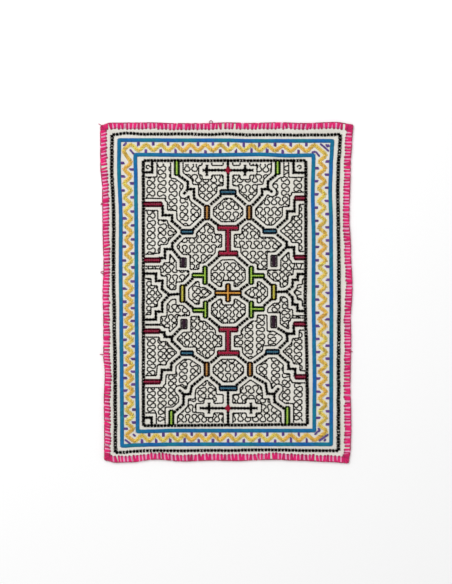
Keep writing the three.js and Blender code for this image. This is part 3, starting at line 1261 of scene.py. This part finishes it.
waveStitches = Skein("wave_stitches", 4)
bandStitches(waveStitches, waveRun, wave, waveAt)
# a darker thread along the middle of the wave, laid as painted shade where the crossing stitches meet
backStitches(waveStitches, waveRun, wave["ridge"], waveDyes["ridge"])
yellowThread = threadFinish("yellow thread")
wavePiece = waveStitches.make(yellowThread)

purpleDyes = eyeColours(light=(112, 84, 164), dark=(84, 54, 120))
ticks = {
    "length": 6.8,
    "uneven": 0.7,
    "from": 1.8,  # from the middle of the blue band to where a tick starts
    "apart": 0.85,
    "half": 1.15,
    "tall": 0.65,
    "cornerHalf": 1.5,
    "cornerTall": 0.75,
    "cornerLift": 0.35,
    "cornerShade": 0.75,
    "spread": 0.12,
}
# The marks in the corners of the bands, each stitch by its two ends
cornerTicks = [
    ((-155.4, 220.2), (-150.3, 225.2)), ((-145.4, 214.9), (-142.2, 211)), ((-142.6, 211.6), (-139.2, 207.6)),
    ((139.9, 223.4), (144.2, 219.8)), ((143.6, 220.5), (148.2, 216.3)), ((147.6, 217), (153, 211.9)),
    ((148.6, 222.6), (151.2, 218.2)), ((151.4, 222.4), (153.6, 218.6)),
    ((127.2, 210.2), (133.2, 211.8)), ((133, 211.4), (136.2, 208)), ((135.6, 208.4), (139.2, 204.2)),
    ((138, -222.3), (143.4, -218.6)), ((142.6, -219), (147.8, -215.4)), ((147, -216), (152.3, -212.2)),
    ((145.6, -222.6), (148.4, -219.2)), ((131.6, -212.8), (135.6, -208.8)), ((135.4, -208.6), (140.2, -206)),
    ((139.8, -206.4), (136.8, -202.8)),
    ((-152.9, -220), (-148.4, -223.4)), ((-148.8, -223), (-144.2, -226.4)),
    ((-140.8, -211.8), (-136.8, -215.2)),
]
tickStitches = Skein("tick_stitches", 6)
starts, ends = np.array(cornerTicks, float).transpose(1, 0, 2)
shades = dyed(purpleDyes["light"] * ticks["cornerShade"], len(starts), ticks["spread"])
dipStitches(tickStitches, starts, ends, ticks["cornerHalf"], ticks["cornerTall"], shades, ticks["cornerLift"])
tickStart, tickEnd = [], []
for turn in turns:
    if turn["corner"]:
        continue
    base, other = turn["inner"], turn["outer"]
    if turn["rises"] < 0:
        base, other = other, base
    toward = np.sign(other - base)
    for shift in (-ticks["apart"], ticks["apart"]):
        length = ticks["length"] + chance.normal(0, ticks["uneven"])
        a = base + toward * ticks["from"]
        b = base + toward * (ticks["from"] + length)
        along = turn["place"] + shift + chance.normal(0, 0.15)
        tickStart.append((along, a) if turn["flat"] else (a, along))
        tickEnd.append((along, b) if turn["flat"] else (b, along))
share = chance.uniform(0, 1, (len(tickStart), 1))
dipStitches(tickStitches, tickStart, tickEnd, ticks["half"], ticks["tall"],
            blend(purpleDyes["light"], purpleDyes["dark"], share))
tickPiece = tickStitches.make(threadFinish("purple thread"))

print("stage: coloured bars")

# The dye of each kind of bar, of the lighter line along its middle and of the thread round it
barDyes = {
    "orange": [(230, 142, 34), (255, 196, 92), (30, 16, 6)],
    "amber": [(178, 108, 28), (248, 192, 106), (30, 14, 4)],
    "green": [(138, 194, 40), (210, 248, 104), (14, 36, 8)],
    "red": [(174, 10, 54), (192, 28, 78), (68, 3, 22)],
    "crimson": [(160, 10, 52), (186, 44, 86), (74, 4, 26)],
    "teal": [(14, 82, 116), (76, 146, 174), (4, 20, 32)],
    "olive": [(200, 186, 48), (240, 232, 104), (28, 24, 6)],
    "plum": [(42, 8, 34), (62, 22, 56), (24, 4, 19)],
}
barDyes = {name: [eyeColour(*colour) for colour in colours] for name, colours in barDyes.items()}
barBand = {"step": 1.9, "past": 0.55, "half": 0.8, "tall": 0.6, "spread": 0.1}
barRidge = {"length": 2.6, "half": 0.65, "tall": 0.45, "raised": 1.05}
barRim = {"length": 2.8, "tall": 0.75, "raised": 0.35}
barStitches = Skein("bar_stitches", 4)
barEdges = Skein("bar_edge_stitches", 4)

for bar in bars:
    colour, light, edgeColour = barDyes[bar["dye"]]
    inner = bar["half"] - 1.6 * bar["edge"]
    for number, (start, end) in enumerate(bar["runs"]):
        run = (end - start) / np.linalg.norm(end - start)
        core = clipToFrame(np.array([start + run * 1.2, end - run * 1.2]), 1.0)
        bandStitches(barStitches, core, {**barBand, "width": 2 * inner - 0.4}, lambda point: colour)
        backStitches(barStitches, core, barRidge, light)
        # the thread round it, left out where the bar's other runs cross
        low, high = barBox(start, end, bar["half"] - bar["edge"] * 0.6)
        corners = np.array([low, (high[0], low[1]), high, (low[0], high[1]), low])
        for i in range(4):
            kept = clipToFrame(corners[i:i + 2], 0.5)
            if len(kept) < 3:
                continue
            keep = np.ones(len(kept), bool)
            for other, crossing in enumerate(bar["runs"]):
                if other != number:
                    low, high = barBox(*crossing, inner)
                    keep &= ~np.all((kept > low) & (kept < high), axis=1)
            for part in insideRuns(kept, keep):
                if measured(part)[-1] > 1:
                    backStitches(barEdges, part, {**barRim, "half": bar["edge"]}, edgeColour)

# A diamond is filled with level stitches
rows = np.arange(-3, 3.5, 0.75) * field["count"]
for point in diamonds:
    across = diamondHalf - abs(rows)
    start, end = [point + np.stack([way * across, rows], axis=-1) for way in (-1, 1)]
    dipStitches(barStitches, start, end, 0.85, 0.6, dyed(barDyes["red"][0], len(rows), 0.1), 0.9)
barThread = threadFinish("bar thread")
barPiece = barStitches.make(barThread)
barEdgePiece = barEdges.make(blackThread)

print("stage: pink edging")

edging = {
    "pitch": {"top": 5.9, "right": 5.0, "bottom": 5.7, "left": 5.1},  # from one hole in the hem to the next
    "paired": {"top": 0.8, "right": 0.4, "bottom": 0.7, "left": 0.45},  # the share of holes with two strands
    "lean": {"top": 0, "right": 1.0, "bottom": 1.2, "left": 0.2},
    "half": {"top": 1.62, "right": 1.78, "bottom": 1.7, "left": 1.65},
    "tall": 0.5,
    "depth": 10.7,
    "fromCorner": 11,
    "bare": 0.12,  # the share of gaps in which the cotton shows
    "purled": 0.8,  # the share of steps along the rim with a purled stitch
    # how far places, depths, thicknesses (as a share), the rim's places and heights stray
    "stray": {"place": 0.4, "depth": 0.45, "half": 0.08, "rim": 0.6, "height": 0.1},
    **eyeColours(pink=(255, 22, 124), pale=(255, 168, 208), deep=(172, 6, 76)),
}
# A strand's way as inset and height, from its hole over the hem, round the rim and back below
strandWay = np.array([
    (9.7, 1.9), (9.1, 2.9), (7.2, 3.1), (4.2, 3.1), (1.8, 3.0), (0.7, 2.5), (0.45, 1.7), (0.75, 0.85),
    (2.2, 0.45), (5.5, 0.42), (8.6, 0.5), (9.5, 1.1),
])
strandGirth = np.array([0.6, 0.9, 1, 1.02, 1, 0.98, 0.95, 0.9, 0.9, 0.85, 0.8, 0.6])
# painted shade along a strand: darkest where it goes into its hole, and darker round the rim and under the
# hem
strandPaintedShade = np.array([0.24, 0.46, 0.9, 1, 1, 0.85, 0.7, 0.7, 0.8, 0.8, 0.75, 0.5])
edgingStitches = Skein("edging_stitches", 6)


def sidePlace(side, along, inset):
    # a place on the true rectangle, from how far along a side and how far in from it the place lies
    sign = 1 if side in ("top", "right") else -1
    inset = np.broadcast_to(inset, np.shape(along))
    if side in ("top", "bottom"):
        return np.stack([along, sign * (halfLength - inset)], axis=-1)
    return np.stack([sign * (halfWidth - inset), along], axis=-1)


def overStrands(hole, rim, half, dye, drop=0.0, fade=1.0):
    # strands from holes in the hem to places on the rim, round it and back below, with painted shade that is
    # darkest at their ends
    reachIn = np.linalg.norm(hole - rim, axis=1)[:, None]
    # the part near the rim keeps its inset, and the rest stretches with the hole's depth
    inset = np.where(strandWay[:, 0] < 2.5, strandWay[:, 0], strandWay[:, 0] / strandWay[0, 0] * reachIn)
    true = rim[:, None] + (hole - rim)[:, None] * (inset / reachIn)[..., None]
    x, y = settle(true[..., 0], true[..., 1])
    height = np.broadcast_to(strandWay[:, 1], x.shape).copy()
    height[:, :6] += chance.normal(0, edging["stray"]["height"], (len(hole), 1)) - drop
    spine = np.dstack([x, y, height])
    chord = unit(spine[:, 3, :2] - spine[:, 0, :2])
    sideways = np.stack([chord[:, 1], -chord[:, 0], np.zeros(len(hole))], axis=-1)
    # fade sets how much of the painted shade a strand takes
    colours = dye[:, None] * strandPaintedShade[:, None] ** fade
    edgingStitches.lay(spine, half[:, None] * strandGirth, edging["tall"] * strandGirth, colours, sideways)


for side in sideNames:
    pitch = edging["pitch"][side]
    lean = edging["lean"][side]
    span = (halfWidth if side in ("top", "bottom") else halfLength) - edging["fromCorner"]
    count = int(round(2 * span / pitch)) + 1
    strays = {name: chance.normal(0, edging["stray"][name], count) for name in ("place", "depth", "half")}
    place = np.linspace(-span, span, count) + strays["place"]
    depth = edging["depth"] + strays["depth"]
    half = edging["half"][side] * (1 + strays["half"])
    dye = blend(edging["pink"], edging["deep"], 0.6 * chance.uniform(0, 1, (count, 1)) ** 2)
    hole = sidePlace(side, place, depth)
    rim = place + lean + chance.normal(0, edging["stray"]["rim"], count)
    overStrands(hole, sidePlace(side, rim, 0), half, dye)
    paired = chance.uniform(0, 1, count) < edging["paired"][side]
    rim = rim + pitch * chance.choice([-0.5, 0.5], count)
    overStrands(hole[paired], sidePlace(side, rim, 0)[paired], half[paired] * 0.95, dye[paired] * 0.95, 0.05)
    # flatter, paler yarn in the gaps
    gaps = np.flatnonzero(chance.uniform(0, 1, count) > edging["bare"])
    gaps = gaps[gaps < count - 1]
    middle = (place[gaps] + place[gaps + 1]) / 2
    pale = dyed(edging["pale"], len(gaps), 0.06)
    overStrands(sidePlace(side, middle, depth[gaps] - 1.2), sidePlace(side, middle + lean, 0),
                half[gaps] * 0.95, pale, 0.18, 0.3)
    # the purled line along the rim
    along = place[:-1, None] + np.diff(place)[:, None] * np.array([0, 0.3, 0.7, 1])
    purled = chance.uniform(0, 1, count - 1) < edging["purled"]
    true = sidePlace(side, along[purled], 0.75 + chance.normal(0, 0.08, (int(purled.sum()), 1)))
    x, y = settle(true[..., 0], true[..., 1])
    height = 2.55 + np.array([-0.2, 0.25, 0.25, -0.2])
    edgingStitches.lay(np.dstack([x, y, np.broadcast_to(height, x.shape)]), 0.75, 0.6,
                       dyed(edging["deep"], len(x), 0.1))

# At each corner the strands fan out from one hole
for signX in (-1, 1):
    for signY in (-1, 1):
        corner = np.array([signX * halfWidth, signY * halfLength])
        ways = np.array([signX, signY])
        rim = corner - ways * [(9.8, 0), (6.4, 0), (3.2, 0), (0.8, 0.8), (0, 3.2), (0, 6.4), (0, 9.8)]
        hole = corner - ways * [(10.4, 9.6), (9.8, 9.4), (9.4, 9.2), (9, 9), (9.2, 9.4), (9.4, 9.8),
                                (9.6, 10.4)]
        # every other strand lies lower and is darker: painted shade between the fanned strands
        shade = np.array([1, 0.7, 1, 0.62, 1, 0.7, 1])[:, None]
        fanned = dyed(blend(edging["pink"], edging["deep"], 0.4), 7, 0.08) * shade
        overStrands(hole, rim, np.full(7, 1.5), fanned, 0.3 * (1 - shade))

# Loose ends and loops of the edging yarn, by x, y and height
looseEnds = [
    [(-185.5, 249.5, 3.4), (-188.8, 251.4, 3.0), (-190.8, 252.4, 1.8), (-192.4, 253.4, 0.9)],
    [(-26.4, 253.6, 2.8), (-26.2, 256.8, 2.2), (-23.8, 258.8, 1.6), (-21.4, 256.8, 2.2), (-21.2, 253.6, 2.8)],
    [(-185.4, 131.2, 2.9), (-187.6, 132.8, 2.2), (-189.2, 132.2, 1.2)],
    [(-185.2, 133.2, 2.9), (-187.2, 133.4, 2.0), (-188.6, 134.6, 1.2)],
    [(-184.6, 28.6, 2.9), (-187.4, 28.8, 2.2), (-189.6, 30.4, 1.6), (-187.4, 32, 2.2), (-184.6, 32, 2.9)],
    [(-183.4, -92.4, 2.9), (-186.4, -92.6, 2.0), (-190.2, -92.5, 0.9)],
    [(185.6, -87.4, 2.9), (187.2, -88, 2.0), (188.6, -88.8, 1.0)],
]
for end in looseEnds:
    line = np.array(end, float)
    places = np.linspace(0, len(line) - 1, 13)
    spine = np.stack([np.interp(places, np.arange(len(line)), line[:, i]) for i in range(3)], axis=-1)
    spine = rounded(spine, 3)
    edgingStitches.lay(spine[None], 0.55, 0.5, dyed(edging["deep"] * 1.2, 1, 0.1))
edgingPiece = edgingStitches.make(threadFinish("edging yarn"))
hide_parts("edging")

print("stage: the reverse")

# The rows of stitches on the reverse, for each kind of line: how far to each side of its middle they lie, or
# as a share of a bar's half width, the length of a step, the share of it that a stitch fills, and half its
# width
reverseRows = {
    "border": {"aside": 2.1, "step": 5.1, "share": 0.6, "half": 0.8},
    "frame": {"aside": 2.0, "step": 5.0, "share": 0.6, "half": 0.8},
    "network": {"aside": 1.5, "step": 4.7, "share": 0.6, "half": 0.75},
    "band": {"aside": 2.5, "step": 2.1, "share": 0.9, "half": 0.6},
    "wave": {"aside": 1.9, "step": 2.9, "share": 0.8, "half": 0.6},
    "bar": {"aside": 0.4, "step": 1.9, "share": 0.9, "half": 0.6},
    "thin": {"aside": 0, "step": 3.0, "share": 0.92, "half": filling["half"] * 0.8},
}
reverseTall = 0.17


def reverseStitches(skein, line, kind, colour, way=0):
    # straight stitches on the cloth's lower face
    choice = reverseRows[kind]
    nodes = evenPoints(line, choice["step"])
    nodes = nodes + leftOf(headings(nodes)) * (way * choice["aside"])
    start = nodes[:-1] + chance.normal(0, stray["reverse"], (len(nodes) - 1, 2))
    end = start + (nodes[1:] - nodes[:-1]) * choice["share"]
    flat = np.stack([start, end], axis=1)
    height = clothTop(flat[..., 0], flat[..., 1]) - lie["thick"] - reverseTall * 0.8
    skein.lay(np.dstack([flat, height]), choice["half"], reverseTall,
              dyed(colour, len(start), spread["reverse"]))


reverseBlack = Skein("reverse_black_stitches", 4)
reverseBlue = Skein("reverse_blue_stitches", 4)
reverseYellow = Skein("reverse_yellow_stitches", 4)
reverseBars = Skein("reverse_bar_stitches", 4)
for way in (-1, 1):
    for kind, sides in (("border", borderSides), ("frame", frameSides)):
        for line in sides:
            reverseStitches(reverseBlack, line, kind, black, way)
    for run in networkRuns:
        for i in range(len(run) - 1):
            kept = clipToFrame(run[i:i + 2], 0.5)
            if len(kept) > 6:
                reverseStitches(reverseBlack, kept, "network", black, way)
    for line in outerBandSides + innerBandSides:
        reverseStitches(reverseBlue, line, "band", blueDyes["deep"], way)
    reverseStitches(reverseYellow, waveRun, "wave", waveDyes["yellow"], way)
    for bar in bars:
        for run in bar["runs"]:
            kept = clipToFrame(np.array(run), 1.0)
            reverseStitches(reverseBars, kept, "bar", barDyes[bar["dye"]][0], way * bar["half"])
for run in thinRuns + chainRuns + curls:
    reverseStitches(reverseBlack, run, "thin", outlineBlack)
reversePieces = [reverseBlack.make(blackThread), reverseBlue.make(blueThread),
                 reverseYellow.make(yellowThread), reverseBars.make(barThread)]

print("stage: floor, light and camera")

studio = {
    "floor": eyeColour(250, 250, 250),
    "floorSize": 6.0,
    "sky": 0.75,
    "keyPower": 22.0,
    "keyPlace": (-0.9, 1.1, 1.6),
    "keySize": 1.2,
}
camera = {
    "lens": 100.0,
    "place": (-0.0012, 0.0011, 1.884),
}


def paperFinish():
    finish = Finish("pale paper")
    grain = finish.noise(finish.place(), 350.0, 2.0)
    colour = finish.mix(grain, (*studio["floor"] * 0.99, 1), (*studio["floor"], 1))
    return finish.shine(colour=colour, roughness=0.9, specular=0.1)


bpy.ops.mesh.primitive_plane_add(size=studio["floorSize"], location=(0, 0, 0))
floor = bpy.context.object
floor.name = "floor"
floor.data.materials.append(paperFinish())

world = bpy.data.worlds.new("studio")
bpy.context.scene.world = world
world.use_nodes = True
world.node_tree.nodes["Background"].inputs["Color"].default_value = (1, 1, 1, 1)
world.node_tree.nodes["Background"].inputs["Strength"].default_value = studio["sky"]

bpy.ops.object.light_add(type="AREA", location=studio["keyPlace"])
key = bpy.context.object
key.name = "key light"
key.data.energy = studio["keyPower"]
key.data.size = studio["keySize"]
aim = -np.array(studio["keyPlace"])
turn = math.atan2(aim[1], aim[0]) - math.pi / 2
key.rotation_euler = (math.atan2(math.hypot(aim[0], aim[1]), -aim[2]), 0, turn)

bpy.ops.object.camera_add(location=camera["place"], rotation=(0, 0, 0))
view = bpy.context.object
view.name = "camera"
view.data.lens = camera["lens"]
view.data.sensor_fit = "HORIZONTAL"
view.data.sensor_width = 36
view.data.clip_end = 20
bpy.context.scene.camera = view
bpy.context.scene.view_settings.view_transform = "Standard"
